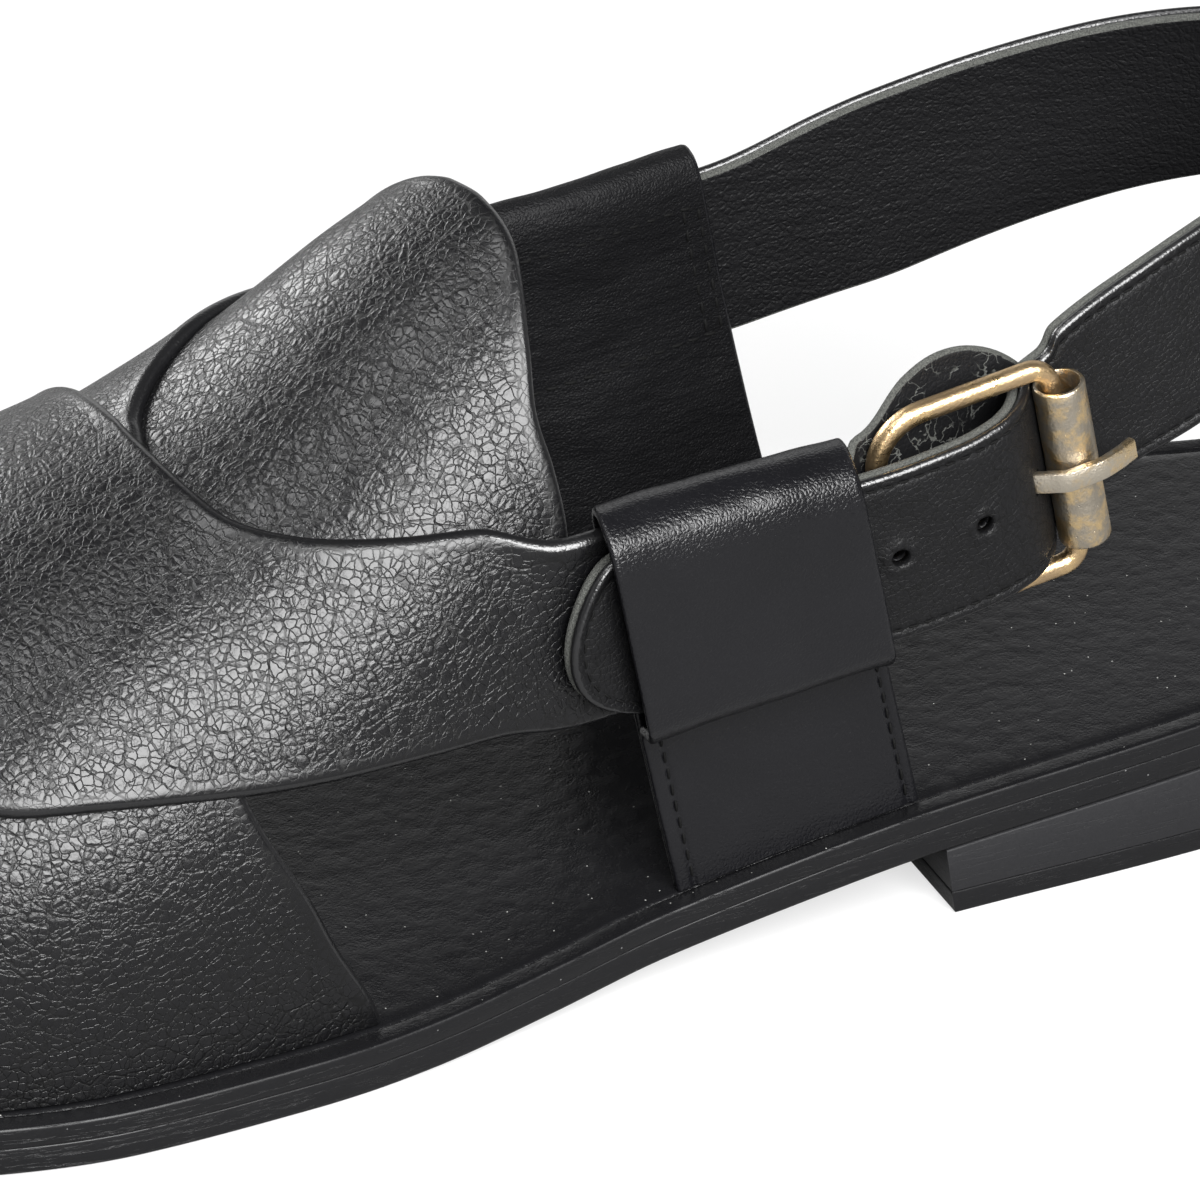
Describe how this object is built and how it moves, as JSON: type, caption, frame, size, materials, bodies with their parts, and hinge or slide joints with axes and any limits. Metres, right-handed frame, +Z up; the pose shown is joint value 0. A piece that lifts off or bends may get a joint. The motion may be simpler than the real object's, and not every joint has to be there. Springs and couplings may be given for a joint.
{
  "type": "peshawari chappal",
  "caption": "Left open-toe leather sandal with broad crossed straps, a tongue, side loops and a buckled heel strap on a low heel.",
  "frame": {"origin": "middle of the shoe's length and width, on the floor it stands on", "axes": "+X to the toe, +Y to the outer side of the left foot, +Z up"},
  "size_m": [0.284, 0.0986, 0.0956],
  "materials": {
    "sole_rubber": "semi-matte dark grey",
    "sole_leather": "dyed and waxed edge",
    "lining_leather": "smooth satin black",
    "grain_leather": "glossy pebbled black",
    "smooth_leather": "fine-grained satin black",
    "buckle_brass": "pale brass with tarnished patches"
  },
  "bodies": {
    "root": {"outsole": "sole_rubber", "midsole": "sole_leather", "heel_block": "sole_leather", "heel_lift": "sole_rubber", "insole": "lining_leather", "upper": "grain_leather", "outer_loop": "smooth_leather", "inner_loop": "smooth_leather", "heel_strap": "grain_leather", "buckle_flap": "smooth_leather", "buckle_frame": "buckle_brass", "buckle_roller": "buckle_brass", "buckle_prong": "buckle_brass"}
  },
  "joints": []
}
